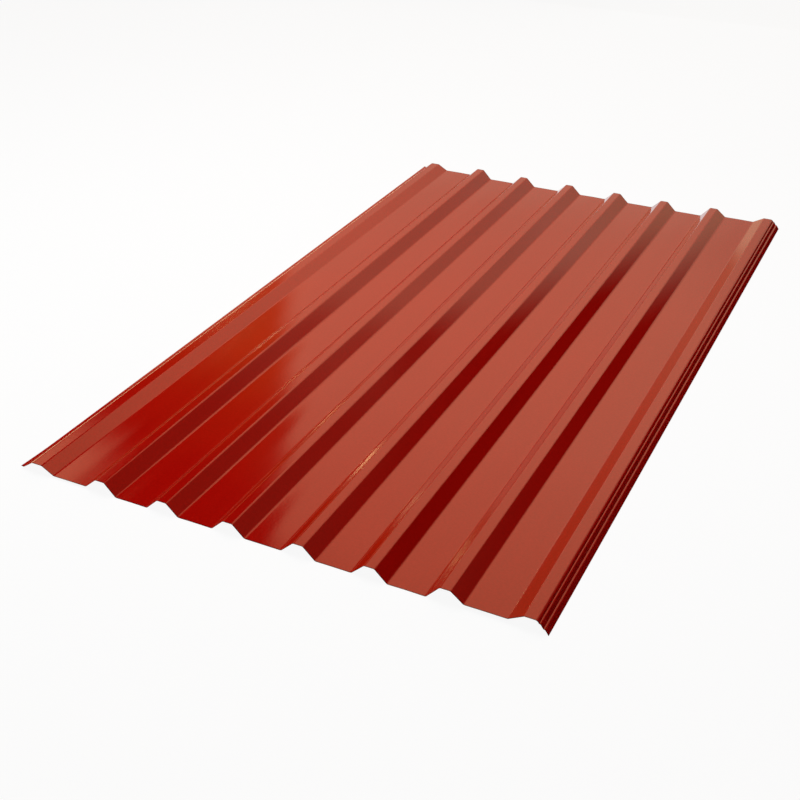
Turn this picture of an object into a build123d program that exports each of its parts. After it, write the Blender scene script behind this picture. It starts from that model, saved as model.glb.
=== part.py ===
from build123d import *
import os
from itertools import accumulate
from math import hypot

# A corrugated roofing sheet: one piece of coated steel, rolled to a trapezoidal section and cut square.
# It lies flat on the floor, pans down. X runs across it, from the edge that goes under its neighbour to
# the edge that goes over, Y runs along the ribs and Z is up. The origin is on the floor, below the middle.

# The blank
sheet_length = 2000.0
steel_thickness = 0.5

# The full ribs and the flat pans between them
full_rib_count = 6
rib_pitch = 150.0
rib_height = 25.0
crown_width = 20.5
flank_run = 26.0

# The two edge ribs, rolled lower and more open than the full ones, and the pans beside them
edge_rib_height = 16.5
edge_crown_width = 24.0
edge_flank_run = 29.0
edge_pan_width = 82.0
under_lap_pan_lift = 4.5
over_lap_pan_lift = 8.5

# The flange of the under-lap edge, which ends in a small upturned lip
under_flange_run = 21.0
under_flange_drop = 16.5
lip_width = 5.5
lip_rise = 1.0

# The flange of the over-lap edge: two small steps in it break the water film, and a steep leg stands on
# the floor. Each step is a ledge below a riser.
upper_riser_run = 3.1
upper_riser_drop = 5.4
upper_ledge_run = 3.2
upper_ledge_drop = 0.8
lower_riser_run = 5.0
lower_riser_drop = 7.8
lower_ledge_run = 3.7
lower_ledge_drop = 1.0
leg_run = 7.0

# Bends, measured on the underside of the steel
crown_bend_radius = 6.0
foot_bend_radius = 8.0
over_lap_bend_radius = 8.0
step_foot_bend_radius = 1.6
step_nose_bend_radius = 4.0
lip_bend_radius = 4.0

# What follows from these
pan_width = rib_pitch - crown_width - flank_run - flank_run
pan_widths = [edge_pan_width] + [pan_width] * (full_rib_count - 1) + [edge_pan_width]
pan_lifts = [under_lap_pan_lift] + [0] * (full_rib_count - 1) + [over_lap_pan_lift]
steps_drop = upper_riser_drop + upper_ledge_drop + lower_riser_drop + lower_ledge_drop
leg_drop = over_lap_pan_lift + edge_rib_height - steps_drop
lip_height = under_lap_pan_lift + edge_rib_height - under_flange_drop + lip_rise
leg_overhang = steel_thickness * leg_drop / hypot(leg_run, leg_drop)


def full_rib(left_pan_lift, right_pan_lift):
    """The stretches of one full rib, whose crown stands rib_height above the mean of its two feet."""
    crown_height = rib_height + (left_pan_lift + right_pan_lift) / 2
    return [
        (flank_run, crown_height - left_pan_lift, crown_bend_radius),
        (crown_width, 0, crown_bend_radius),
        (flank_run, right_pan_lift - crown_height, foot_bend_radius),
    ]


# The underside of the section, stretch by stretch: its run, its rise and the bend at its far end
stretches = [
    (lip_width, -lip_rise, lip_bend_radius),
    (under_flange_run, under_flange_drop, crown_bend_radius),
    (edge_crown_width, 0, crown_bend_radius),
    (edge_flank_run, -edge_rib_height, foot_bend_radius),
    (pan_widths[0], 0, foot_bend_radius),
]
for rib in range(full_rib_count):
    stretches += full_rib(pan_lifts[rib], pan_lifts[rib + 1])
    stretches.append((pan_widths[rib + 1], 0, foot_bend_radius))
stretches += [
    (edge_flank_run, edge_rib_height, crown_bend_radius),
    (edge_crown_width, 0, over_lap_bend_radius),
    (upper_riser_run, -upper_riser_drop, step_foot_bend_radius),
    (upper_ledge_run, -upper_ledge_drop, step_nose_bend_radius),
    (lower_riser_run, -lower_riser_drop, step_foot_bend_radius),
    (lower_ledge_run, -lower_ledge_drop, step_nose_bend_radius),
    (leg_run, -leg_drop, 0),
]
runs, rises, bends = zip(*stretches)
overall_width = sum(runs) + leg_overhang
across = accumulate(runs, initial=-overall_width / 2)
heights = accumulate(rises, initial=lip_height)

with BuildPart() as sheet:
    with BuildSketch(Plane.XZ):
        with BuildLine():
            underside = FilletPolyline(*zip(across, heights), radius=bends[:-1])
            offset(underside, amount=steel_thickness, side=Side.LEFT)
        make_face()
    extrude(amount=sheet_length / 2, both=True)

sheet.part.label = "profiled_sheet"
os.makedirs("parts", exist_ok=True)
export_step(sheet.part, "parts/profiled_sheet.step")
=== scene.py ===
from itertools import accumulate
from math import atan2, cos, hypot, pi, radians, sin, tan

import bpy
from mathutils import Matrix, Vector


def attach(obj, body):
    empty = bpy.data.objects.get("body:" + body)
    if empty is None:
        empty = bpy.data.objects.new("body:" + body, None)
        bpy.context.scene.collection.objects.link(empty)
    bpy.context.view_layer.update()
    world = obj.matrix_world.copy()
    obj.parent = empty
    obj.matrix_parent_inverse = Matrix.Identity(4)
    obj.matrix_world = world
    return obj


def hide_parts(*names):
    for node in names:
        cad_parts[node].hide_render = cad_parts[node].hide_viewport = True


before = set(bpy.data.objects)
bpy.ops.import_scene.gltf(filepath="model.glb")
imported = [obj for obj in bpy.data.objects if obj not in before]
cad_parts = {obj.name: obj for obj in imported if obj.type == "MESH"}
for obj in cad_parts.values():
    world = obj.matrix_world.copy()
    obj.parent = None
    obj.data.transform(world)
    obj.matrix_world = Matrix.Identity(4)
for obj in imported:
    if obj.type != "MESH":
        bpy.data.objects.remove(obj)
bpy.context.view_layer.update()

# A corrugated roofing sheet of coated steel, lying on a pale floor. Sizes are in metres: X runs across the
# sheet, Y along its ribs and Z up, with the origin on the floor below the middle.

# The rolled section, with the driving sizes of the solid that this mesh stands for
sheet_length = 2.0
steel_thickness = 0.0005
full_rib_count = 6
rib_pitch = 0.150
rib_height = 0.025
crown_width = 0.0205
flank_run = 0.026
edge_rib_height = 0.0165
edge_crown_width = 0.024
edge_flank_run = 0.029
edge_pan_width = 0.082
under_lap_pan_lift = 0.0045
over_lap_pan_lift = 0.0085
under_flange_run = 0.021
under_flange_drop = 0.0165
lip_width = 0.0055
lip_rise = 0.001
upper_riser_run = 0.0031
upper_riser_drop = 0.0054
upper_ledge_run = 0.0032
upper_ledge_drop = 0.0008
lower_riser_run = 0.005
lower_riser_drop = 0.0078
lower_ledge_run = 0.0037
lower_ledge_drop = 0.001
leg_run = 0.007
crown_bend = 0.006
foot_bend = 0.008
over_lap_bend = 0.008
step_foot_bend = 0.0016
step_nose_bend = 0.004
lip_bend = 0.004

# How finely the mesh follows it. A point close to each end of a flat keeps its shading flat up to the bend.
bend_steps = 8
flat_step = 0.012
flat_hold = 0.0003
flat_hold_limit = 0.25
length_steps = 80
sharp_angle = 40.0

# How far each rib stands to the right of its true place, and how far the pans of so light a sheet swell and
# ripple. Each wave has its turn along a metre and its shift from pan to pan, in radians, and its share.
rib_sets = (0.0010, 0.0008, -0.0010, 0.0, 0.0030, 0.0008, 0.0, 0.0005)
pan_ripple = 0.00012
pan_swells = (2.0, 2.0, 2.0, 2.0, 1.0, 3.5, 2.0)
ripple_waves = ((7.3, 2.1, 1.0), (13.7, 4.4, 0.6), (22.9, 1.3, 0.4))

# The near corner of the lip is sprung outwards
lip_flare = 0.0038
flare_length = 0.12

# The red top coat: scales are waves to a metre, shares are parts of the shade, which runs from dark to pale
coat_red = (0.355, 0.0028, 0.0011)
top_cloud_scale, top_cloud_share = 5.0, 0.18
top_grain_scale, top_grain_share = 200.0, 0.68
top_streak_scale, top_streak_share = 60.0, 0.14
top_streak_stretch = (1.0, 0.03, 1.0)
top_dark, top_pale = 0.70, 1.30
top_peel_scale, top_peel_depth = 190.0, 0.00004
top_roughness, top_streak_roughness = 0.07, 0.04
top_ior = 1.5
# Painted shade: a narrow band at each cut end where the coat's colour is made darker, to draw a dark line
# along the sheared ends
end_shade_width, end_shade_cover, end_shade_level = 0.0024, 0.8, 0.25

# The grey back coat
back_coat_grey = (0.50, 0.50, 0.47)
back_cloud_scale, back_cloud_share = 6.0, 0.4
back_streak_scale, back_streak_share = 90.0, 0.35
back_streak_stretch = (1.0, 0.02, 1.0)
back_grain_scale, back_grain_share = 500.0, 0.25
back_grain_depth = 0.00002
back_dark, back_pale = 0.82, 1.15
back_roughness, back_cloud_roughness = 0.38, 0.14

# The cut steel, painted far darker than bare steel: painted shade that draws a dark line along the cut ends
steel_shade_colour = (0.045, 0.03, 0.027)
steel_score_scale, steel_score_share = 900.0, 0.6
steel_cloud_scale, steel_cloud_share = 40.0, 0.4
steel_dark, steel_pale = 0.6, 1.1
steel_roughness, steel_score_roughness = 0.55, 0.2
steel_specular = 0.2

# The camera, as it stood for the photograph
camera_place = (1.0253, -2.5993, 1.4275)
camera_azimuth = 26.908
camera_elevation = 30.476
camera_lens = 56.195
camera_sensor = 36.0
camera_shift = (0.0477, 0.0)

# The studio: a pale floor, one large soft lamp above the sheet and a lit wall beyond its far end
white = (1.0, 1.0, 1.0)
black = (0.0, 0.0, 0.0)
floor_size = 60.0
floor_tone = 0.82
floor_roughness = 0.9
floor_glow = 0.92
world_light = 0.08
key_place = (-0.90, 0.0, 2.7)
key_size = 2.2
key_power = 81.6
wall_y = 3.4
wall_left = -9.0
wall_right = 7.0
wall_top = 14.0

# What the gloss of the sheet sees on that wall, in metres along it and above the floor. A lean is how far
# an edge moves along the wall for each metre of height, or the other way round. First the warm panel:
panel_strength = 1.56
panel_edge = 0.10
panel_fall = 0.26
panel_left, left_bend, left_lean = -2.54, 2.9, 0.20
panel_right, right_fall, panel_lean, lean_top = 1.09, 0.20, 0.50, 1.25
panel_top, top_lean = 5.6, 0.60
panel_foot, foot_lean = 0.30, 0.20
panel_dim, dim_lean, dim_level, dim_right = 0.82, 0.50, 1.2, 1.42
dusk_share, dusk_lean, dusk_span = 0.20, 0.5, (-0.9, -0.2)
tones_top = 6.0
wall_tones = [
    (0.11, (0.68, 0.50, 0.31)),
    (0.155, (0.70, 0.57, 0.39)),
    (0.185, (0.68, 0.51, 0.33)),
    (0.31, (0.955, 0.62, 0.38)),
    (0.41, (1.05, 0.695, 0.42)),
    (0.62, (1.19, 0.65, 0.365)),
    (0.90, (1.01, 0.51, 0.27)),
]

# Its wing low on the left, and the dim tail and glow on its right
wing_left, wing_right, wing_lean = -3.25, -0.66, 1.1
tail_share, tail_span, tail_foot = 0.38, (1.0, 2.1), 1.9
glow_share, glow_lean, glow_span = 0.10, 0.5, (0.25, 0.90)

# A dim fill left of the panel, a high window beyond it, a pale skirt below and a low corner at the far left
fill_left, fill_top = -4.6, 3.3
fill_tone = (0.40, 0.13, 0.02)
fill_dim, fill_dim_span = 0.75, (2.3, 2.95)
window_left, window_right, window_lean, window_foot = -5.0, -0.48, 1.0, 3.45
skirt_left, skirt_right, skirt_fade = -0.68, 1.42, -3.0
skirt_tone = (0.60, 0.46, 0.29)
skirt_low_tone = (0.22, 0.09, 0.03)
skirt_dim = 0.27
corner_span = (-3.9, -3.5)
corner_heights = (1.0, 1.6)
corner_tone = (0.45, 0.27, 0.09)

# A small oval lamp, whose long axis falls to the right
lamp_place = (-2.985, 1.955)
lamp_lean = 36.0
lamp_half_length = 0.21
lamp_half_width = 0.05
lamp_core = 0.5
lamp_colour = (11.0, 7.4, 3.3)

# Two cards just above the floor, beside the sheet, as (name, colour, left, right, near and far side)
card_lift = 0.0004
cards = [
    ("black_card", black, 0.573, 3.4, -3.4, 3.4),
    ("cream_card", (2.6, 1.9, 1.1), -6.0, -0.575, -3.4, 1.0),
]

# The sheet's finishes, in the order of its materials
top_finish, back_finish, cut_finish = range(3)


def sheet_stretches():
    """The underside's stretches from the under-lap edge, as (run, rise, bend after it, pan or not)."""
    pan_width = rib_pitch - crown_width - 2 * flank_run
    widths = [edge_pan_width] + [pan_width] * (full_rib_count - 1) + [edge_pan_width]
    widths = [width + after - before for width, before, after in zip(widths, rib_sets, rib_sets[1:])]
    lifts = [under_lap_pan_lift] + [0.0] * (full_rib_count - 1) + [over_lap_pan_lift]
    steps_drop = upper_riser_drop + upper_ledge_drop + lower_riser_drop + lower_ledge_drop
    leg_drop = over_lap_pan_lift + edge_rib_height - steps_drop
    line = [
        (lip_width, -lip_rise, lip_bend, False),
        (under_flange_run, under_flange_drop, crown_bend, False),
        (edge_crown_width, 0.0, crown_bend, False),
        (edge_flank_run, -edge_rib_height, foot_bend, False),
    ]
    for pan in range(full_rib_count):
        crown_height = rib_height + (lifts[pan] + lifts[pan + 1]) / 2
        line += [
            (widths[pan], 0.0, foot_bend, True),
            (flank_run, crown_height - lifts[pan], crown_bend, False),
            (crown_width, 0.0, crown_bend, False),
            (flank_run, lifts[pan + 1] - crown_height, foot_bend, False),
        ]
    line += [
        (widths[-1], 0.0, foot_bend, True),
        (edge_flank_run, edge_rib_height, crown_bend, False),
        (edge_crown_width, 0.0, over_lap_bend, False),
        (upper_riser_run, -upper_riser_drop, step_foot_bend, False),
        (upper_ledge_run, -upper_ledge_drop, step_nose_bend, False),
        (lower_riser_run, -lower_riser_drop, step_foot_bend, False),
        (lower_ledge_run, -lower_ledge_drop, step_nose_bend, False),
        (leg_run, -leg_drop, 0.0, False),
    ]
    leg_overhang = steel_thickness * leg_drop / hypot(leg_run, leg_drop)
    first_height = under_lap_pan_lift + edge_rib_height - under_flange_drop + lip_rise
    return line, leg_overhang, first_height


def rolled_section():
    """The underside with its bends rounded, as (x, z, upward normal x, z, pan, share of its width)."""
    line, leg_overhang, first_height = sheet_stretches()
    width = sum(stretch[0] for stretch in line) + leg_overhang + rib_sets[0] - rib_sets[-1]
    across = list(accumulate((stretch[0] for stretch in line), initial=rib_sets[0] - width / 2))
    heights = list(accumulate((stretch[1] for stretch in line), initial=first_height))
    slopes = [atan2(rise, run) for run, rise, bend, is_pan in line]
    turns = [after - before for before, after in zip(slopes, slopes[1:])]
    trims = [stretch[2] * tan(abs(turn) / 2) for stretch, turn in zip(line, turns)]
    trims = [0.0] + trims + [0.0]
    section = []
    pan = -1
    for place, (run, rise, bend, is_pan) in enumerate(line):
        pan += is_pan
        slope = slopes[place]
        start = trims[place]
        end = hypot(run, rise) - trims[place + 1]
        pieces = max(1, round((end - start) / flat_step))
        hold = min(flat_hold / (end - start), flat_hold_limit)
        for part in (0.0, hold, *(step / pieces for step in range(1, pieces)), 1 - hold, 1.0):
            along = start + (end - start) * part
            share = part if is_pan else 0.0
            x = across[place] + along * cos(slope)
            z = heights[place] + along * sin(slope)
            section.append((x, z, -sin(slope), cos(slope), pan, share))
        if place + 1 == len(line):
            break
        turn = turns[place]
        reach = bend if turn > 0 else -bend
        x, z, normal_x, normal_z = section[-1][:4]
        centre_x = x + reach * normal_x
        centre_z = z + reach * normal_z
        for step in range(1, bend_steps):
            lean = slope + turn * step / bend_steps
            normal_x, normal_z = -sin(lean), cos(lean)
            x = centre_x - reach * normal_x
            z = centre_z - reach * normal_z
            section.append((x, z, normal_x, normal_z, pan, 0.0))
    return section


def ripple(pan, share, y):
    """How far a pan's skin stands above the true plane: long shallow waves that die out at the ribs."""
    waves = sum(part * sin(turn * y + shift * pan) for turn, shift, part in ripple_waves)
    return pan_ripple * (pan_swells[pan] + waves) * sin(pi * share) ** 2


def flare(inward, y):
    """How far the under-lap flange is sprung outwards: all of it at the lip's tip, nothing at the rib."""
    along = max(0.0, 1 - (y + sheet_length / 2) / flare_length)
    return lip_flare * along ** 2 * max(0.0, 1 - inward / (lip_width + under_flange_run))


def rolled_sheet():
    """The sheet as one closed mesh: coated top, back coat below, and bare steel round the cut edges."""
    section = rolled_section()
    count = len(section)
    first_x = section[0][0]
    vertices = []
    for station in range(length_steps + 1):
        y = sheet_length * (station / length_steps - 0.5)
        for gauge in (0.0, steel_thickness):
            for x, z, normal_x, normal_z, pan, share in section:
                off = gauge + ripple(pan, share, y)
                vertices.append((x + normal_x * off - flare(x - first_x, y), y, z + normal_z * off))

    def vertex(station, top, point):
        return (2 * station + top) * count + point

    faces = []
    finishes = []
    for station in range(length_steps):
        after = station + 1
        for point in range(count - 1):
            corners = [(station, point), (station, point + 1), (after, point + 1), (after, point)]
            for top in (0, 1):
                ring = [vertex(along, top, across) for along, across in corners]
                faces.append(ring if top else ring[::-1])
                finishes.append(top_finish if top else back_finish)
        for point, step in ((0, 1), (count - 1, -1)):
            ring = [vertex(after, 0, point), vertex(station, 0, point)]
            ring += [vertex(station, 1, point), vertex(after, 1, point)]
            faces.append(ring[::step])
            finishes.append(cut_finish)
    for station, step in ((0, 1), (length_steps, -1)):
        for point in range(count - 1):
            ring = [vertex(station, 0, point), vertex(station, 0, point + 1)]
            ring += [vertex(station, 1, point + 1), vertex(station, 1, point)]
            faces.append(ring[::step])
            finishes.append(cut_finish)
    mesh = bpy.data.meshes.new("rolled_sheet")
    mesh.from_pydata(vertices, [], faces)
    mesh.polygons.foreach_set("material_index", finishes)
    mesh.polygons.foreach_set("use_smooth", [True] * len(faces))
    mesh.set_sharp_from_angle(angle=radians(sharp_angle))
    mesh.validate()
    return mesh


class Signal:
    """One socket of a node tree. Sums on signals add Math nodes, and node() adds any other node."""

    def __init__(self, tree, socket=None):
        self.tree = tree
        self.socket = socket

    def node(self, kind, settings=None, sockets=None, output=0):
        made = self.tree.nodes.new(kind)
        for name, value in (settings or {}).items():
            if name == "stops":
                ramp = made.color_ramp.elements
                while len(ramp) < len(value):
                    ramp.new(1.0)
                for stop, (position, colour) in zip(ramp, value):
                    stop.position = position
                    stop.color = tone(colour)
            else:
                setattr(made, name, value)
        for name, value in (sockets or {}).items():
            if isinstance(value, Signal):
                self.tree.links.new(value.socket, made.inputs[name])
            else:
                made.inputs[name].default_value = value
        return Signal(self.tree, made.outputs[output] if len(made.outputs) else None)

    def sum(self, operation, first, second=0.0):
        return self.node("ShaderNodeMath", {"operation": operation}, {0: first, 1: second})

    def __add__(self, other):
        return self.sum("ADD", self, other)

    def __radd__(self, other):
        return self.sum("ADD", other, self)

    def __sub__(self, other):
        return self.sum("SUBTRACT", self, other)

    def __rsub__(self, other):
        return self.sum("SUBTRACT", other, self)

    def __mul__(self, other):
        return self.sum("MULTIPLY", self, other)

    def __rmul__(self, other):
        return self.sum("MULTIPLY", other, self)

    def mixed(self, first, second):
        """The second colour where this signal is 1, the first where it is 0."""
        return self.node("ShaderNodeMix", {"data_type": "RGBA"}, {0: self, 6: first, 7: second}, 2)

    def soft(self, low, high):
        """0 below the low value, 1 above the high one, and a smooth step between them."""
        span = {"Value": self, "From Min": low, "From Max": high}
        return self.node("ShaderNodeMapRange", {"interpolation_type": "SMOOTHSTEP"}, span)

    def edge(self, middle, fall):
        """A smooth step from 0 to 1 that reaches as far as the fall on each side of the middle."""
        return self.soft(middle - fall, middle + fall)

    def place(self, axis):
        """One of the object's own coordinates, in metres."""
        place = self.node("ShaderNodeTexCoord", output="Object")
        return self.node("ShaderNodeSeparateXYZ", None, {"Vector": place}, axis)

    def noise(self, scale, detail=2.0, stretch=(1.0, 1.0, 1.0)):
        """Noise over the object's own metres, from 0 to 1, with so many waves to a metre."""
        place = self.node("ShaderNodeTexCoord", output="Object")
        place = self.node("ShaderNodeVectorMath", {"operation": "MULTIPLY"}, {0: place, 1: stretch})
        return self.node("ShaderNodeTexNoise", None, {"Vector": place, "Scale": scale, "Detail": detail})

    def bump(self, depth):
        """A normal that follows this signal as relief of this depth, in metres."""
        return self.node("ShaderNodeBump", None, {"Strength": 1.0, "Distance": depth, "Height": self})


def tone(colour, level=1.0):
    return (*(channel * level for channel in colour), 1.0)


def new_material(name):
    material = bpy.data.materials.new(name)
    material.use_nodes = True
    material.node_tree.nodes.clear()
    return material, Signal(material.node_tree)


def surfaced(shader, sockets):
    """Ends a material in one surface with these values and links."""
    surface = shader.node("ShaderNodeBsdfPrincipled", None, sockets)
    shader.node("ShaderNodeOutputMaterial", None, {"Surface": surface})


def glowing(shader, colour, strength):
    """Ends a material in a black surface that gives off its own light."""
    surfaced(shader, {
        "Base Color": tone(black),
        "Specular IOR Level": 0.0,
        "Emission Color": colour,
        "Emission Strength": strength,
    })


def red_top_coat():
    """Baked enamel over zinc: red with a fine grain, glossy, with the slight peel of a rolled-on paint."""
    material, shader = new_material("red_top_coat")
    cloud = shader.noise(top_cloud_scale, detail=3.0)
    grain = shader.noise(top_grain_scale, detail=3.0)
    streak = shader.noise(top_streak_scale, detail=3.0, stretch=top_streak_stretch)
    peel = shader.noise(top_peel_scale)
    shade = cloud * top_cloud_share + grain * top_grain_share + streak * top_streak_share
    colour = shade.mixed(tone(coat_red, top_dark), tone(coat_red, top_pale))
    # Painted shade along the sheared ends: the coat's colour turns darker in a narrow band at each cut end
    half = sheet_length / 2
    along = shader.sum("ABSOLUTE", shader.place("Y"))
    end_shade = along.soft(half - end_shade_width, half - end_shade_width / 2)
    surfaced(shader, {
        "Base Color": (end_shade * end_shade_cover).mixed(colour, tone(coat_red, end_shade_level)),
        "Roughness": top_roughness + top_streak_roughness * streak,
        "Normal": peel.bump(top_peel_depth),
        "IOR": top_ior,
    })
    return material


def grey_back_coat():
    """The thin service coat on the underside: grey, half matt, with faint streaks from the rollers."""
    material, shader = new_material("grey_back_coat")
    cloud = shader.noise(back_cloud_scale, detail=3.0)
    streak = shader.noise(back_streak_scale, detail=3.0, stretch=back_streak_stretch)
    grain = shader.noise(back_grain_scale)
    shade = cloud * back_cloud_share + streak * back_streak_share + grain * back_grain_share
    surfaced(shader, {
        "Base Color": shade.mixed(tone(back_coat_grey, back_dark), tone(back_coat_grey, back_pale)),
        "Roughness": back_roughness + back_cloud_roughness * cloud,
        "Normal": grain.bump(back_grain_depth),
    })
    return material


def sheared_steel():
    """The shear's bare edge: dull, finely scored steel, painted far darker than bare steel as shade."""
    material, shader = new_material("sheared_steel")
    score = shader.noise(steel_score_scale)
    shade = score * steel_score_share + shader.noise(steel_cloud_scale) * steel_cloud_share
    surfaced(shader, {
        "Base Color": shade.mixed(tone(steel_shade_colour, steel_dark), tone(steel_shade_colour, steel_pale)),
        "Roughness": steel_roughness + steel_score_roughness * score,
        "Specular IOR Level": steel_specular,
    })
    return material


def seen(shader):
    """1 for what the camera sees, straight or in a gloss, and 0 for light that falls on the sheet."""
    sight = shader.node("ShaderNodeLightPath", output="Is Camera Ray")
    gloss = shader.node("ShaderNodeLightPath", output="Is Glossy Ray")
    through = shader.node("ShaderNodeLightPath", output="Is Transmission Ray")
    return shader.sum("MINIMUM", sight + gloss + through, 1.0)


def pale_floor():
    """Matt paper that takes the sheet's shadow, whitened towards the eye."""
    material, shader = new_material("pale_floor")
    paper = shader.node("ShaderNodeBsdfPrincipled", None, {
        "Base Color": tone(white, floor_tone),
        "Roughness": floor_roughness,
        "Specular IOR Level": 0.0,
    })
    glow = shader.node("ShaderNodeEmission", None, {"Color": tone(white), "Strength": 1.0})
    surface = shader.node("ShaderNodeMixShader", None, {0: floor_glow * seen(shader), 1: paper, 2: glow})
    shader.node("ShaderNodeOutputMaterial", None, {"Surface": surface})
    return material


def panel_share(shader, across, height):
    """How much of the warm panel shows, with its slanting edges, its wing, and its tail and glow."""
    bent = across + shader.sum("MAXIMUM", height - left_bend, 0.0) * left_lean
    wing = 1 - (across + height * wing_lean).edge(wing_right, panel_edge / 2)
    wing = wing * across.edge(wing_left, panel_edge)
    left = shader.sum("MAXIMUM", bent.edge(panel_left, panel_edge), wing)
    leaning = across - shader.sum("MINIMUM", height, lean_top) * panel_lean
    right = 1 - leaning.edge(panel_right, right_fall)
    tail = (1 - leaning.soft(*tail_span)) * height.edge(tail_foot, panel_edge * 2) * tail_share
    glow = (height - across * glow_lean).soft(*glow_span) * glow_share
    right = right + (1 - right) * (tail + glow)
    under = 1 - (height - across * top_lean).edge(panel_top, panel_fall)
    bright = (across + (height - dim_level) * dim_lean).soft(panel_left, dim_right)
    dusk = (across - height * dusk_lean).soft(*dusk_span) * dusk_share
    return left * right * under * (panel_dim + bright * (1 - panel_dim)) * (1 - dusk)


def window_share(across, height):
    """How much of the high window at the far left shows."""
    window = 1 - (across + height * window_lean).edge(window_right, panel_edge)
    window = window * across.edge(window_left, panel_edge)
    return window * height.edge(window_foot, panel_fall)


def fill_share(across, height):
    """How much of the dim fill left of the panel shows. It is dimmer higher up."""
    fill = across.soft(fill_left, panel_left) * (1 - across.soft(panel_left, panel_left + panel_fall))
    fill = fill * (1 - height.edge(fill_top, panel_fall))
    return fill * (1 - height.soft(*fill_dim_span) * fill_dim)


def lamp_share(shader, across, height):
    """How much of the small oval lamp shows."""
    fall, level = sin(radians(lamp_lean)), cos(radians(lamp_lean))
    right = across - lamp_place[0]
    up = height - lamp_place[1]
    offset = shader.node("ShaderNodeCombineXYZ", None, {
        "X": (right * level - up * fall) * (1 / lamp_half_length),
        "Z": (right * fall + up * level) * (1 / lamp_half_width),
    })
    reach = shader.node("ShaderNodeVectorMath", {"operation": "LENGTH"}, {0: offset}, "Value")
    return 1 - reach.soft(lamp_core, 1.0)


def lit_wall():
    """The wall that the gloss shows: the panel, fill, window, skirt, corner and lamp, on black."""
    material, shader = new_material("lit_wall")
    across = shader.place("X")
    height = shader.place("Z")
    above = (height + across * foot_lean).edge(panel_foot, panel_fall / 2)
    warm = shader.node("ShaderNodeValToRGB", {"stops": wall_tones}, {"Fac": height * (1 / tones_top)})
    colour = fill_share(across, height).mixed(tone(black), tone(fill_tone))
    lit = panel_share(shader, across, height) + window_share(across, height)
    colour = (lit * above).mixed(colour, warm)
    pale = across.edge(skirt_left, panel_edge) * (1 - skirt_dim)
    pale = across.soft(skirt_fade, skirt_left) * skirt_dim + pale
    skirt = pale.mixed(tone(skirt_low_tone), tone(skirt_tone))
    below = (1 - above) * (1 - across.soft(skirt_right, skirt_right + panel_fall))
    colour = below.mixed(colour, skirt)
    corner = (1 - across.soft(*corner_span)) * (1 - height.soft(*corner_heights))
    colour = corner.mixed(colour, tone(corner_tone))
    colour = lamp_share(shader, across, height).mixed(colour, tone(lamp_colour))
    glowing(shader, colour, panel_strength)
    return material


def plain_card(name, colour):
    """A card beside the sheet that only its gloss sees."""
    material, shader = new_material(name)
    glowing(shader, tone(colour), 1.0)
    return material


def new_object(name, data, *materials):
    thing = bpy.data.objects.new(name, data)
    bpy.context.collection.objects.link(thing)
    for material in materials:
        data.materials.append(material)
    return thing


def stage_plane(name, corners, material):
    """A flat piece of the studio."""
    mesh = bpy.data.meshes.new(name)
    mesh.from_pydata(corners, [], [(0, 1, 2, 3)])
    plane = new_object(name, mesh, material)
    return plane


def level_corners(left, right, near, far, height):
    return [(left, near, height), (right, near, height), (right, far, height), (left, far, height)]


sheet = new_object("rolled_sheet", rolled_sheet(), red_top_coat(), grey_back_coat(), sheared_steel())
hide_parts("profiled_sheet")
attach(sheet, "root")

half_floor = floor_size / 2
stage_plane("floor", level_corners(-half_floor, half_floor, -half_floor, half_floor, 0.0), pale_floor())
wall_ends = [(wall_left, 0.0), (wall_right, 0.0), (wall_right, wall_top), (wall_left, wall_top)]
wall = stage_plane("wall", [(x, wall_y, z) for x, z in wall_ends], lit_wall())
wall.visible_camera = False
for name, colour, left, right, near, far in cards:
    card = stage_plane(name, level_corners(left, right, near, far, card_lift), plain_card(name, colour))
    for sight in ("visible_camera", "visible_diffuse", "visible_shadow"):
        setattr(card, sight, False)

key = new_object("key_light", bpy.data.lights.new("key_light", "AREA"))
key.data.shape = "SQUARE"
key.data.size = key_size
key.data.energy = key_power
key.location = key_place
key.rotation_euler = (-Vector(key_place)).to_track_quat("-Z", "Y").to_euler()
key.visible_camera = False
key.visible_glossy = False

world = bpy.data.worlds.new("studio")
world.use_nodes = True
world.node_tree.nodes.clear()
bpy.context.scene.world = world
air = Signal(world.node_tree)
dim = air.node("ShaderNodeBackground", None, {"Color": tone(white), "Strength": world_light})
backdrop = air.node("ShaderNodeBackground", None, {"Color": tone(white), "Strength": 1.0})
sky = air.node("ShaderNodeMixShader", None, {0: seen(air), 1: dim, 2: backdrop})
air.node("ShaderNodeOutputWorld", None, {"Surface": sky})

camera = new_object("camera", bpy.data.cameras.new("camera"))
camera.location = camera_place
camera.rotation_euler = (radians(90 - camera_elevation), 0.0, radians(camera_azimuth))
camera.data.sensor_width = camera_sensor
camera.data.lens = camera_lens
camera.data.shift_x, camera.data.shift_y = camera_shift
bpy.context.scene.camera = camera
bpy.context.scene.view_settings.view_transform = "Standard"
